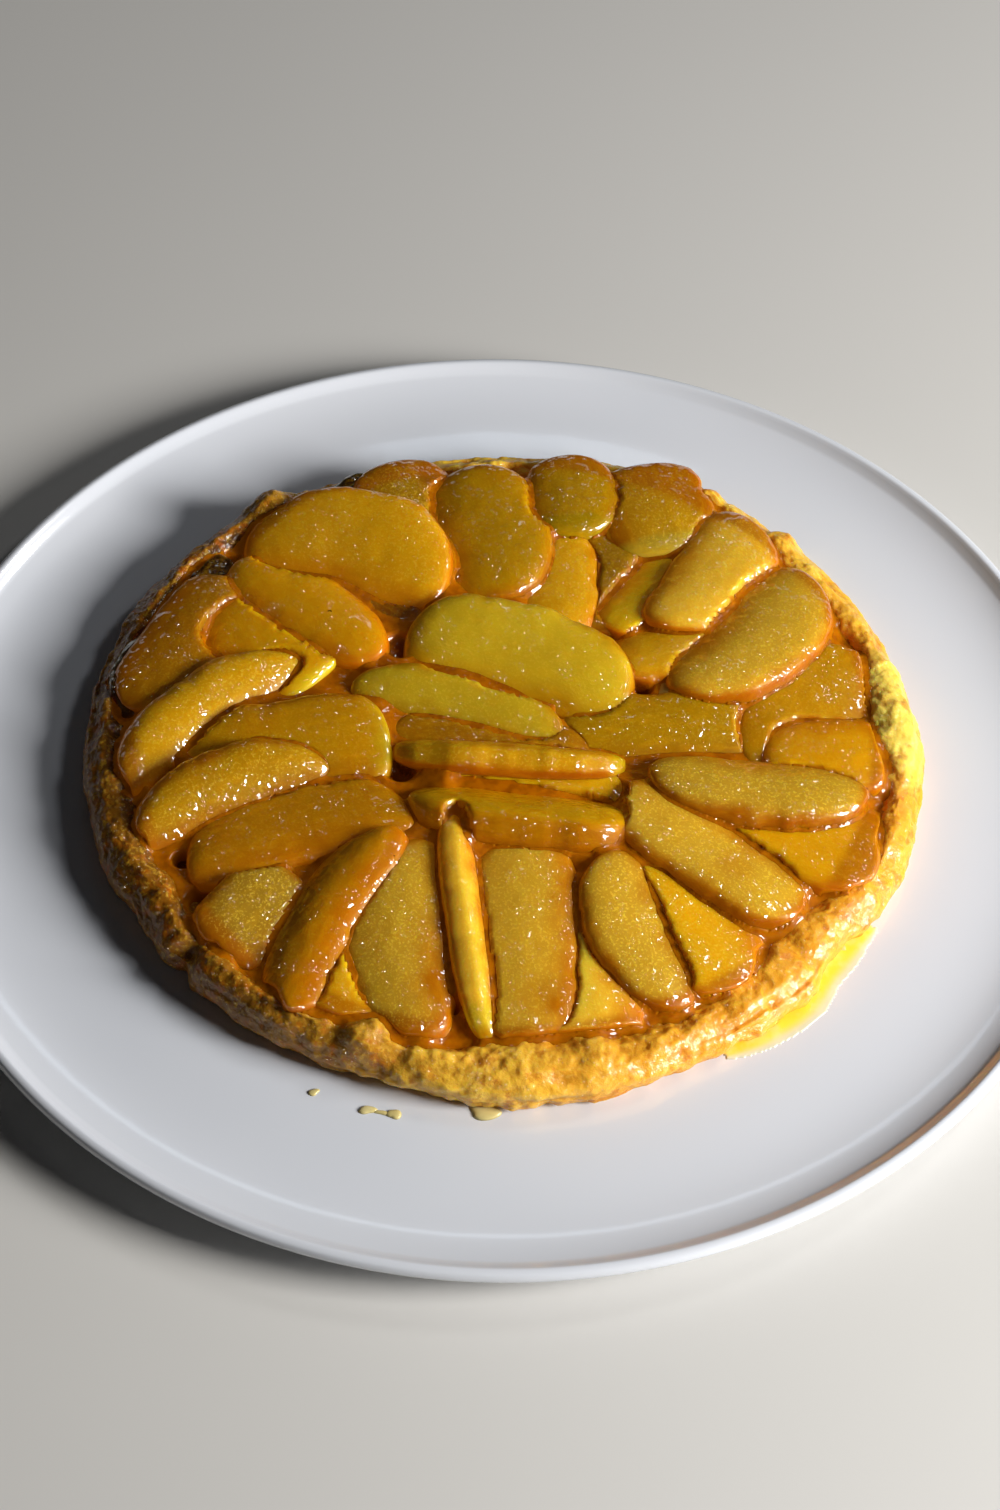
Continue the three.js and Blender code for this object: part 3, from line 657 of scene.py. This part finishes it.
def pastry_grid():
    """Points [section step, angle] with flakes, crags and grains, and their relief."""
    angles = np.arange(PASTRY_ANGLES) * 2 * math.pi / PASTRY_ANGLES
    sections = np.stack([pastry_outline(a) for a in angles], 1)
    radius, height = sections[..., 0], sections[..., 1]
    round_trip = NOISE_RADIUS * np.stack([np.cos(angles), np.sin(angles)], -1)
    where = np.concatenate(
        [np.broadcast_to(round_trip, (*radius.shape, 2)), height[..., None]], -1)
    out = np.gradient(height, axis=0)
    up = -np.gradient(radius, axis=0)
    length = np.maximum(np.hypot(out, up), 1e-6)
    spread = np.stack([radius * np.cos(angles), radius * np.sin(angles), height], -1)
    rough = step_between(0.1, 1.6, height - BASE_HEIGHT)
    shown = np.where(radius > rim_at(angles)[1] - 2, 1.0, 0.15)
    wall = step_between(0.2, 0.9, out / length)
    lumps = layered_noise(where * (1, 1, 1.6), 9, 5, 3)
    crags = terraced(layered_noise(spread, 5.5, 61, 3), 0.5)
    layers = terraced(layered_noise(where * (0.35, 0.35, 1.5), 6, 21, 2), 0.5)
    grain = layered_noise(spread, 2.2, 33, 2)
    relief = 0.6 * lumps + mix(0.55 * crags, 0.7 * layers, wall) + 0.25 * grain
    relief = relief * rough * shown
    ragged = layered_noise(np.stack([*round_trip.T, 0 * angles], -1), 6.5, 71, 2)
    foot = step_between(7.0, 1.0, height - BASE_HEIGHT) * step_between(-12, -2, radius - TART_RADIUS)
    radius = radius + relief * out / length + 1.1 * ragged * foot
    height = height + relief * up / length
    x = TART_CENTRE[0] + radius * np.cos(angles)
    y = TART_CENTRE[1] + radius * np.sin(angles)
    return np.stack([x, y, height], -1), angles, relief


def make_pastry():
    grid, angles, relief = pastry_grid()
    rows, columns = grid.shape[:2]
    points = np.vstack([
        [[*TART_CENTRE, BASE_HEIGHT]], grid.reshape(-1, 3), [[*TART_CENTRE, BED_HEIGHT]]])
    faces = turned_faces(rows, columns)
    pastry = add_mesh("pastry_fine", points, faces, pastry_finish(), TART_PLACE)

    height = grid[..., 2]
    radius, _ = round_tart(grid[..., 0], grid[..., 1])
    past_inner = radius - rim_at(angles)[1]
    golden, pale, baked = (248, 194, 62), (255, 222, 96), (228, 152, 20)
    brown, caramel, toasted = (186, 106, 4), (222, 142, 6), (236, 154, 24)
    dark, darkest_shade = (120, 66, 0), (66, 30, 0)
    # darker towards the left: partly baked colour, partly painted shade on the side turned from the
    # light
    left_shade_and_bake = step_between(0.1, 0.8, -0.1 * np.sin(angles) - np.cos(angles))
    to_right = step_between(0.35, 0.9, np.cos(angles + 0.5))
    # painted shade: darkest on the rim's inner side and the bed beside it, round the left
    sunk_side_shade = step_between(0.45, 0.85, -np.cos(angles + 0.4)) * step_between(5, 2, past_inner)
    low = step_between(4.0, 0.5, height - BASE_HEIGHT)
    # painted shade in the relief's hollows (brown) and painted highlight on its peaks (pale)
    hollow = step_between(0.2, -0.9, relief)
    inside = step_between(5.5, 0.0, past_inner + 1.5 * relief)
    roll = step_between(15, 8, np.degrees(np.abs(wrapped(angles - 0.09))))
    # painted highlight: the top of the puffy roll made pale
    crown_highlight = roll * step_between(6, 11, height) * step_between(-2, 2, past_inner)
    tone = painted(
        linear(golden), (baked, np.clip(0.5 * left_shade_and_bake + 0.5 * low, 0, 1)),
        (brown, np.clip(0.5 * hollow + 0.7 * low * hollow, 0, 1)),
        (pale, 0.55 * step_between(0.4, 1.4, relief)), (caramel, 0.8 * inside),
        (toasted, 0.7 * to_right), (pale, 0.95 * crown_highlight), (dark, 0.85 * left_shade_and_bake),
        (darkest_shade, 0.85 * sunk_side_shade))
    add_colours(pastry, "tone", np.vstack([
        [linear(baked)], tone.reshape(-1, 3), [linear(caramel)]]))
    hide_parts("pastry")
    return pastry


# ---- Fruit -------------------------------------------------------------------------

SLICE_FACES = turned_faces(SLICE_RINGS - 1, SLICE_SIDES)
SECTION_STEPS = 1440  # from which the even steps round a section are picked


def dish_floor(x, y):
    """How low the fruit can lie: on the bed, and up the rim's inner slope."""
    radius, angle = round_tart(x, y)
    _, inner, crest = rim_at(angle)
    return mix(BED_HEIGHT, crest - 0.2, step_between(-3.5, 3.0, radius - inner)) + 0.3


def draw_inside_rim(points):
    """Moves what would lie in the rim towards the tart's centre, up to its inner side."""
    radius, angle = round_tart(points[:, 0], points[:, 1])
    _, inner, crest = rim_at(angle)
    low = step_between(crest + 2.5, crest + 0.5, points[:, 2])
    over = np.maximum(radius - inner - 0.5, 0) * low
    points[:, :2] -= (points[:, :2] - TART_CENTRE) * (over / np.maximum(radius, 1))[:, None]
    points[:, 2] -= np.minimum(1.5 * over, 4)


def section_outline(name, half_width, half_depth):
    """Even steps round a slice's section: shares across it, and from its lower face up."""
    core, skin = CORE_SECTION, SKIN_SECTION
    if name in ROUND_SLICES:
        core = skin = ROUND_SECTION
    turns = np.linspace(0, 2 * math.pi, SECTION_STEPS + 1)
    along, up = np.cos(turns), np.sin(turns)
    power = np.where(up < 0, LOWER_SECTION, np.where(along < 0, core, skin))
    reach = (np.abs(along) ** power + np.abs(up) ** power) ** (-1 / power)
    along, up = along * reach, up * reach
    steps = np.hypot(np.diff(along) * half_width, np.diff(up) * half_depth)
    travelled = np.concatenate([[0], np.cumsum(steps)])
    even = np.linspace(0, travelled[-1], SLICE_SIDES, endpoint=False)
    return np.interp(even, travelled, along), np.interp(even, travelled, up)


def stands_on_edge(row):
    return abs(row.roll) > ON_EDGE


def fullness(share, power):
    """1 in the middle of a length and 0 at its ends, round as the power says."""
    return np.sqrt(np.maximum(1 - np.abs(share) ** power, 0))


def slice_points(row, seed, flare, swell_by):
    """The fine form of one slice, and each point's place on it.

    A place is the share along the slice, the share across it from core to skin and the
    share from its lower to its upper face, each from -1 to 1.
    """
    name, first, second, width, thick, thin, roll, bow, _, _, core_share, *powers = row
    first, second = np.array(first, float), np.array(second, float)
    span = second - first
    half_length = np.linalg.norm(span) / 2
    along = span / (2 * half_length)
    level = np.array([-along[1], along[0], 0])
    level /= np.linalg.norm(level)
    roll = math.radians(roll)
    skinward = level * math.cos(roll) + np.cross(along, level) * math.sin(roll)
    faceward = np.cross(along, skinward)

    steps = np.arange(1, SLICE_RINGS) / SLICE_RINGS
    shares = mix(2 * steps - 1, -np.cos(steps * math.pi), RING_CROWDING)
    sides = section_outline(name, width / 2, (thick + thin) / 4)
    share = np.concatenate([[-1], np.repeat(shares, SLICE_SIDES), [1]])
    across, face = (np.concatenate([[0], np.tile(s, SLICE_RINGS - 1), [0]]) for s in sides)

    power = np.where(share < 0, powers[0], powers[1])
    full = fullness(share, power)
    skin_share = (across + 1) / 2
    core_reach = (width * core_share + swell_by) * fullness(share, power * CORE_STRAIGHTNESS)
    skin_reach = (width * (1 - core_share) + swell_by) * full
    reach = mix(-core_reach, skin_reach, skin_share) + bow * (1 - share**2)
    reach = reach + across * full * flare * (1 - face) / 2
    thickness = fullness(share, THICKNESS_POWER)
    drop = CORE_DROP * step_between(0.3, -1.0, across) + DOME * across**2
    thickness = np.where(face > 0, thickness**TOP_FLATNESS * (1 - drop), thickness)
    half_depth = np.where(face > 0, (thin + thick) / 4, mix(thin, thick, skin_share) / 2)
    depth = face * thickness * half_depth
    place = np.stack([share * half_length, reach, depth], -1)

    beside = np.stack([place[:, 0], 0 * reach, across * 3], -1)
    bend = noise(beside, 13, seed)
    nibbled = layered_noise(beside, 4.2, seed + 5, 2)
    swell = noise(place, 15, seed + 3)
    ripple = layered_noise(place * (0.6, 1, 1), 3.4, seed + 7, 2)
    reach = reach + across * full * (0.8 * bend + 0.4 * nibbled + 0.12 * ripple)
    depth = depth + face * thickness * (0.25 * swell + 0.12 * ripple)
    points = (first + second) / 2 + np.outer(share * half_length, along)
    points = points + np.outer(reach, skinward) + np.outer(depth, faceward)
    return points, np.stack([share, across, face], -1), place


GRID_STEP = 0.6
GRID_HALF = 127
GRID_STEPS = int(2 * GRID_HALF / GRID_STEP) + 1
GRID_X = TART_CENTRE[0] - GRID_HALF + np.arange(GRID_STEPS) * GRID_STEP
GRID_Y = TART_CENTRE[1] - GRID_HALF + np.arange(GRID_STEPS) * GRID_STEP
GRID = np.meshgrid(GRID_X, GRID_Y, indexing="ij")
GRID_POINTS = np.stack([*GRID, 0 * GRID[0]], -1)
GRID_RADIUS, GRID_ANGLE = round_tart(*GRID)
FAR_ABOVE = 90.0


def on_grid(field, x, y):
    """A grid field's value at each place, between the grid's points."""
    u = np.clip((x - GRID_X[0]) / GRID_STEP, 0, GRID_STEPS - 1.001)
    v = np.clip((y - GRID_Y[0]) / GRID_STEP, 0, GRID_STEPS - 1.001)
    i, j = u.astype(int), v.astype(int)
    s, t = u - i, v - j
    low = mix(field[i, j], field[i + 1, j], s)
    high = mix(field[i, j + 1], field[i + 1, j + 1], s)
    return mix(low, high, t)


def take_room(room, points):
    """Lowers the free height where a new slice lies: under it, and beside its edge."""
    tree = BVHTree.FromPolygons(points.tolist(), SLICE_FACES)
    i0, i1 = np.searchsorted(GRID_X, (points[:, 0].min(), points[:, 0].max()))
    j0, j1 = np.searchsorted(GRID_Y, (points[:, 1].min(), points[:, 1].max()))
    top = np.full((i1 - i0 + 2, j1 - j0 + 2), np.nan)
    under = top.copy()
    up, down = Vector((0, 0, 1)), Vector((0, 0, -1))
    for i, j in np.ndindex(i1 - i0, j1 - j0):
        x, y = GRID_X[i0 + i], GRID_Y[j0 + j]
        hit = tree.ray_cast(Vector((x, y, -FAR_ABOVE)), up)[0]
        if hit is not None:
            under[i + 1, j + 1] = hit.z
            top[i + 1, j + 1] = tree.ray_cast(Vector((x, y, FAR_ABOVE)), down)[0].z
    inside = ~np.isnan(under)
    from_edge = np.zeros(inside.shape)
    left = inside
    while left.any() and from_edge.max() < SEAT_EDGE[1]:
        from_edge += GRID_STEP * left
        left = left & np.roll(left, 1, 0) & np.roll(left, -1, 0)
        left = left & np.roll(left, 1, 1) & np.roll(left, -1, 1)
    for axis in (0, 1) * SEAT_SMOOTHING:
        from_edge = (np.roll(from_edge, 1, axis) + from_edge + np.roll(from_edge, -1, axis)) / 3
    limit = mix(top + EDGE_FREE, under - SEAT_GAP, step_between(*SEAT_EDGE, from_edge))
    limit = np.where(inside & (from_edge > SEAT_EDGE[0]), limit, FAR_ABOVE)[1:-1, 1:-1]
    room[i0:i1, j0:j1] = np.minimum(room[i0:i1, j0:j1], limit)


def shape_slices():
    """Every slice's points and places, from the top one down, each under the last.

    The last value of each tells which of its points another slice or the rim presses; these points get
    painted shade.
    """
    room = np.full(GRID_RADIUS.shape, FAR_ABOVE)
    shaped = []
    for index, row in enumerate(SLICES):
        flare = EDGE_FLARE if stands_on_edge(row) else FLARE
        swell_by = mix(*SWELL, index / len(SLICES))
        seed = FIRST_SEED + SEED_STEP * index
        points, shares, place = slice_points(row, seed, flare, swell_by)
        draw_inside_rim(points)
        free = on_grid(room, points[:, 0], points[:, 1])
        seat = free - SEAT_THICKNESS * (1 - shares[:, 2]) / 2
        floor = dish_floor(points[:, 0], points[:, 1])
        lowered = np.minimum(points[:, 2], seat)
        pressed_shade = np.maximum(free < FAR_ABOVE / 2, lowered < floor)
        points[:, 2] = np.maximum(lowered, floor)
        take_room(room, points)
        shaped.append((row, points, shares, place, pressed_shade))
    return shaped


# ---- Heights over the tart ---------------------------------------------------------


def top_surface(tree):
    """The height of the tart's top at each point of the grid."""
    top = np.full(GRID_RADIUS.shape, BASE_HEIGHT)
    down = Vector((0, 0, -1))
    for i, j in np.argwhere(GRID_RADIUS < GRID_HALF):
        hit = tree.ray_cast(Vector((GRID_X[i], GRID_Y[j], FAR_ABOVE)), down)[0]
        if hit is not None:
            top[i, j] = hit.z
    return top


def closed(field, radius):
    """The field with every dent filled that is narrower than a disc of that radius."""
    reach = round(radius / GRID_STEP)
    offsets = range(-reach, reach + 1)
    shifts = [(i, j) for i in offsets for j in offsets if i * i + j * j <= reach * reach]
    for pick in (np.maximum, np.minimum):
        result = field
        for shift in shifts:
            result = pick(result, np.roll(field, shift, (0, 1)))
        field = result
    return field


def blurred(field, radius):
    reach = math.ceil(2 * radius / GRID_STEP)
    offsets = np.arange(-reach, reach + 1)
    weights = np.exp(-((offsets * GRID_STEP / radius) ** 2))
    weights /= weights.sum()
    for axis in (0, 1):
        field = sum(w * np.roll(field, o, axis) for o, w in zip(offsets, weights))
    return field


def film(name, top, bottom, covered, tone, material):
    """A thin closed body over the covered part of the grid, with the grid's colours."""
    cells = covered[:-1, :-1] | covered[1:, :-1] | covered[:-1, 1:] | covered[1:, 1:]
    used = np.zeros(covered.shape, bool)
    for i, j in ((0, 0), (1, 0), (0, 1), (1, 1)):
        used[i : i + cells.shape[0], j : j + cells.shape[1]] |= cells
    index = np.full(covered.shape, -1)
    index[used] = np.arange(used.sum())
    above, below = (np.stack([*GRID, level], -1)[used] for level in (top, bottom))
    count = len(above)
    i, j = np.nonzero(cells)
    a, b, c, d = index[i, j], index[i + 1, j], index[i + 1, j + 1], index[i, j + 1]
    faces = [np.stack([a, b, c, d], -1), np.stack([d, c, b, a], -1) + count]
    padded = np.pad(cells, 1)
    for di, dj, first, second in ((-1, 0, d, a), (1, 0, b, c), (0, -1, a, b), (0, 1, c, d)):
        edge = ~padded[i + 1 + di, j + 1 + dj]
        p, q = first[edge], second[edge]
        faces.append(np.stack([q, p, p + count, q + count], -1))
    points, faces = np.vstack([above, below]), np.vstack(faces).tolist()
    piece = add_mesh(name, points, faces, material, TART_PLACE)
    add_colours(piece, "tone", np.vstack([tone[used], tone[used]]))
    return piece


FILL_DEPTH = 3.2  # of the caramel under the fruit's even top surface
# Gaps where the caramel lies deeper, and dark as thick caramel and as painted shade: place and radius.
DEEP_GAPS = [
    (31, 43, 7), (-97, -19, 7), (-29, -14, 7), (-83, -62, 6.5), (-31, 31, 6), (-48, 29, 5),
    (-52, -87, 5), (-85, 68, 5), (-28, 46, 4.5), (-69, -83, 4), (-35, -93, 4), (41, 17, 4),
    (-4, -39, 4), (20, -44, 4), (-20, -36, 4), (-90, -47, 4), (36, -91, 3), (-13, 60, 3),
    (-12, -99, 3), (-87, 34, 3), (24, 80, 3), (18, 6, 3),
]
GAP_DEPTH = 4.5
# Places that the caramel leaves free, so that a low slice shows: place and radius.
BARE_PLACES = [(-8 + 4.5 * index, -21.5 - 0.3 * index, 9) for index in range(9)]
BARE_DEPTH = 3.0
CREVICE_DEPTH = 0.5  # of the caramel's surface, under the edges of a narrow gap
CREVICE_RADIUS = 1.8
CREVICE_BLUR = 0.9
OPEN_RADIUS = 8.0  # of the dents that the fruit's even top surface runs over
OPEN_BLUR = 3.0
CARAMEL_THICKNESS = 1.6
CARAMEL_REACH = 5  # into the rim
LEAST_DEPTH = 0.05


def make_slices(shaped, open_surface):
    material = fruit_finish()
    for index, (row, points, shares, place, pressed_shade) in enumerate(shaped):
        piece = add_mesh(f"{row.name}_fine", points, SLICE_FACES, material, TART_PLACE)
        x, y, height = points.T
        share, across, face = shares.T
        upward = vertex_normals(piece)[:, 2]
        mottle = layered_noise(place, 8, 400 + index, 3)

        half_length = np.abs(place[:, 0]).max()
        width, crosswise = (row.thick, face) if stands_on_edge(row) else (row.width, across)
        from_core = (1 + crosswise) / 2 * width + 1.8 * mottle
        from_skin = (1 - crosswise) / 2 * width + 1.2 * mottle
        from_end = (1 - np.abs(share)) * half_length + 1.2 * mottle
        clear = step_between(-0.5, CORE_FADE * width, from_core)
        clear = clear * step_between(-0.5, SKIN_FADE, from_skin)
        past_rim = round_tart(x, y)[0] - (TART_RADIUS - RIM_WIDTH)
        rim = 1 - clear * step_between(-0.5, END_FADE, from_end)
        rim = rim + 0.25 * noise(place, 15, 700 + index)
        # amber spots: partly the glaze's colour, partly painted shade
        rim = rim + 0.4 * spot_share(AMBER_AND_SHADE_SPOTS, x, y) + 0.4 * step_between(-10, 2, past_rim)
        rim = np.clip(rim, 0, 1)
        turned_away = step_between(*TURNED_AWAY, upward + 0.06 * mottle)

        centre, edge, side = LOOKS[row.look]
        tone = painted(linear(centre), (edge, rim), (side, turned_away))
        for name, way, start, colour in END_TINTS:
            if name == row.name:
                there = step_between(start - 0.12, start + 0.08, way * share + 0.06 * mottle)
                tone = painted(tone, (colour, 0.85 * there))
        tone = np.minimum(tone * row.brightness, BRIGHTEST)
        against_rim = step_between(-5, -2, past_rim) * (row.look not in DARK_LOOKS)
        # darker where the fruit lies below its neighbours: partly caramel soaked in, partly painted
        # shade in the crevices
        sunk = on_grid(open_surface, x, y) - height
        soaked = SOAK_AND_SHADE_SHARE.get(row.name, 1.0) * step_between(*SOAK_AND_SHADE_DEPTH, sunk + 1.2 * mottle)
        # the listed deep gaps darken the fruit with painted shade
        gap = spot_share(DEEP_GAPS, x, y)
        # painted shade: the darker side colour where a slice is pressed under the one above or against
        # the rim
        tone = painted(
            tone, (AMBER_CARAMEL, 0.7 * against_rim),
            (np.minimum(side, AMBER_CARAMEL), 0.85 * pressed_shade),
            (AMBER_CARAMEL, 0.6 * soaked), (DEEP_CARAMEL_AND_SHADE, 0.9 * soaked * gap))
        dry = (1 - rim) * (1 - pressed_shade) * (1 - turned_away) * (1 - soaked) * DRYNESS[row.look]
        add_colours(piece, "tone", tone, dry)
        # painted glow: emission on the sides, the edges and the sunk parts, for light that comes
        # through the flesh
        through = np.clip(turned_away + 0.6 * rim + soaked, 0, 1) * (1 - 0.8 * soaked * gap)
        wet = 1 - 0.9 * step_between(*COAT_ENDS, upward)
        add_colours(piece, "glow", tone * (GLOW * through)[:, None] * GLOW_TINT, wet)
        add_vectors(piece, "place", place + 40 * index)
        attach(piece, "root")
        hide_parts(f"apple_slice_{row.name}")


def make_caramel(top, open_surface):
    """Caramel: it fills the narrow gaps and lies in the deep ones."""
    _, inner, _ = rim_at(GRID_ANGLE)
    crevices = blurred(closed(top, CREVICE_RADIUS), CREVICE_BLUR) - CREVICE_DEPTH
    filled = open_surface - FILL_DEPTH + 0.5 * noise(GRID_POINTS, 16, 901)
    gap = spot_share(DEEP_GAPS, *GRID)
    surface = np.maximum(np.minimum(crevices, open_surface), filled)
    surface = surface - GAP_DEPTH * gap - BARE_DEPTH * spot_share(BARE_PLACES, *GRID)
    covered = (GRID_RADIUS < inner + CARAMEL_REACH) & (surface > top + LEAST_DEPTH)
    # darker in the listed deep gaps: thick caramel and painted shade
    deep = step_between(0.1, 0.8, gap + 0.1 * noise(GRID_POINTS, 7, 905))
    tone = painted(linear(AMBER_CARAMEL), (DEEP_CARAMEL_AND_SHADE, deep))
    under = surface - CARAMEL_THICKNESS
    piece = film("caramel", surface, under, covered, tone, caramel_finish())
    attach(piece, "root")


# ---- Core scrap and syrup ----------------------------------------------------------

REMNANT_TIPS = (49, 20), (46.5, 9)
REMNANT_WIDTH = 7
REMNANT_THICKNESS = 3.0
# Drops of syrup beside the crust, in the tart's frame: place, half length, half width,
# turn in degrees and height.
DROPS = [
    (-49.4, -119.2, 1.6, 1.1, 10, 0.5), (-34.5, -124.6, 2.3, 1.5, 0, 0.7),
    (-30.5, -125.4, 2.2, 0.8, -8, 0.5), (-27.2, -125.8, 2.0, 1.7, 20, 0.7),
    (-2.6, -124.4, 4.6, 2.6, 5, 0.9), (97.5, -66.5, 1.2, 1.0, 0, 0.5),
]
SYRUP_FROM, SYRUP_TO = -59, -29  # degrees round the tart
SYRUP_WIDTH = 4.6
SYRUP_DEPTH = 0.3


def make_core_remnant(top):
    """A small loose scrap of core, which lies on the slices."""
    first, second = np.array(REMNANT_TIPS)
    level = on_grid(top, *(first + second) / 2) + 0.15 * REMNANT_THICKNESS
    row = Slice("core_remnant", (*first, level), (*second, level - 2), REMNANT_WIDTH,
                REMNANT_THICKNESS, REMNANT_THICKNESS, 20, 0.6, "olive", 1, 0.5, 2.2, 2.2)
    points, shares, place = slice_points(row, 900, 0.4, 0.5)
    material = bpy.data.materials["cooked_fruit"]
    piece = add_mesh(row.name, points, SLICE_FACES, material, TART_PLACE)
    centre, edge, _ = LOOKS[row.look]
    outwards = step_between(0.35, 1.0, np.abs(shares[:, 1]))
    add_colours(piece, "tone", painted(linear(edge), (centre, outwards)))
    add_vectors(piece, "place", place + 900)
    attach(piece, "root")


def drop_mesh(x, y, half_length, half_width, turn, height, seed):
    """A flat drop's points, from the middle of its underside to its top, and faces."""
    rings, sides = 8, 32
    angles = np.arange(sides) * 2 * math.pi / sides
    uneven = 1 + 0.16 * np.sin(2 * angles + seed) + 0.1 * np.sin(3 * angles + 2 * seed)
    points = [[[0, 0, 0]]]
    for share in np.linspace(1, 0.1, rings):
        along = share * half_length * uneven * np.cos(angles)
        across = share * half_width * uneven * np.sin(angles)
        top = np.full(sides, height * math.sqrt(1 - share**2.6))
        points.append(np.stack([along, across, top], -1))
    points.append([[0, 0, height]])
    points = np.vstack(points)
    turned = Matrix.Rotation(math.radians(turn), 3, "Z")
    return points @ np.array(turned).T + (x, y, 0.02), turned_faces(rings, sides)


def make_syrup():
    """The syrup that ran out on the plate: a crescent beside the crust, and drops."""
    past_crust = GRID_RADIUS - rim_at(GRID_ANGLE)[0]
    along = (np.degrees(GRID_ANGLE) - SYRUP_FROM) / (SYRUP_TO - SYRUP_FROM)
    swelling = np.clip(1 - (2 * along - 1) ** 2, 0, 1) ** 0.7
    width = swelling * (SYRUP_WIDTH + 1.2 * noise(GRID_POINTS, 9, 951)) + 0.01
    edge = (past_crust + 2) / (width + 2)
    inside = np.clip(1 - np.maximum(edge, 0) ** 2, 0, 1) * (swelling > 0)
    covered = (inside > 0) & (past_crust > -4)
    tone = painted(linear((222, 220, 190)), ((246, 222, 60), step_between(0.1, 0.9, inside)))
    top, under = SYRUP_DEPTH * inside + 0.03, np.full(inside.shape, 0.01)
    material = syrup_finish()
    crescent = film("syrup_crescent", top, under, covered, tone, material)
    points, faces = joined(drop_mesh(*drop, index) for index, drop in enumerate(DROPS))
    drops = add_mesh("syrup_drops", points, faces, material, TART_PLACE)
    add_colours(drops, "tone", linear((214, 196, 128)))
    for made in (crescent, drops):
        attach(made, "root")


# ---- Light, floor and camera -------------------------------------------------------

CAMERA_ELEVATION = 49.69
CAMERA_ROLL = 1.21
CAMERA_DISTANCE = 957.7
CAMERA_TARGET = (-0.6, 13.0, 2.3)
FOCAL_PIXELS = 3200
IMAGE_HEIGHT = 1510
SENSOR = 36
FLOOR_HALF = 2500


def add_camera():
    data = bpy.data.cameras.new("camera")
    data.sensor_fit = "VERTICAL"
    data.sensor_height = SENSOR
    data.lens = FOCAL_PIXELS / IMAGE_HEIGHT * SENSOR
    data.clip_start = 0.01
    camera = bpy.data.objects.new("camera", data)
    tilted = Matrix.Rotation(math.radians(90 - CAMERA_ELEVATION), 4, "X")
    rolled = Matrix.Rotation(math.radians(CAMERA_ROLL), 4, "Z")
    target = Matrix.Translation(Vector(CAMERA_TARGET) * MM)
    away = Matrix.Translation((0, 0, CAMERA_DISTANCE * MM))
    camera.matrix_world = target @ tilted @ rolled @ away
    bpy.context.scene.collection.objects.link(camera)
    bpy.context.scene.camera = camera


def add_light(name, direction, distance, size, energy, colour):
    """A soft rectangular light that faces the tart from a direction."""
    data = bpy.data.lights.new(name, "AREA")
    data.shape = "RECTANGLE"
    data.size, data.size_y = size
    data.energy = energy
    data.color = colour
    light = bpy.data.objects.new(name, data)
    towards = Vector(direction).normalized()
    light.location = towards * distance
    light.rotation_euler = towards.to_track_quat("Z", "Y").to_euler()
    bpy.context.scene.collection.objects.link(light)


def add_lights():
    add_light("key", (0.86, -0.30, 0.44), 1.3, (0.44, 0.44), 28, (1.0, 0.985, 0.96))
    add_light("sparkle", (0.62, 0.30, 0.72), 1.3, (0.2, 0.2), 1.8, (1.0, 1.0, 1.0))
    add_light("window", (0.01, 0.735, 0.677), 2.0, (0.27, 0.08), 0.2, (0.75, 0.87, 1.0))
    add_light("fill", (0.2, -0.7, 1.2), 1.8, (1.4, 1.4), 0.15, (1.0, 1.0, 1.0))
    world = bpy.data.worlds.new("studio")
    world.use_nodes = True
    background = world.node_tree.nodes["Background"]
    background.inputs["Color"].default_value = (0.9, 0.94, 1.0, 1)
    background.inputs["Strength"].default_value = 0.009
    bpy.context.scene.world = world


def add_floor():
    corners = [(x * FLOOR_HALF, y * FLOOR_HALF, 0) for x, y in ((-1, -1), (1, -1), (1, 1), (-1, 1))]
    floor = add_mesh("floor", corners, [(0, 1, 2, 3)], floor_finish(), smooth=False)


# ---- Assembly ----------------------------------------------------------------------


def build():
    add_camera()
    add_lights()
    add_floor()
    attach(make_plate(), "root")
    pastry = make_pastry()
    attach(pastry, "root")
    shaped = shape_slices()
    crust = np.array([v.co for v in pastry.data.vertices]) / MM - TART_PLACE
    parts = [(crust, [tuple(p.vertices) for p in pastry.data.polygons])]
    points, faces = joined(parts + [(form, SLICE_FACES) for _, form, *_ in shaped])
    top = top_surface(BVHTree.FromPolygons(points.tolist(), faces))
    open_surface = blurred(closed(top, OPEN_RADIUS), OPEN_BLUR)
    make_slices(shaped, open_surface)
    make_caramel(top, open_surface)
    make_core_remnant(top)
    make_syrup()


build()
scene = bpy.context.scene
scene.view_settings.view_transform = "Standard"
scene.view_settings.look = "None"
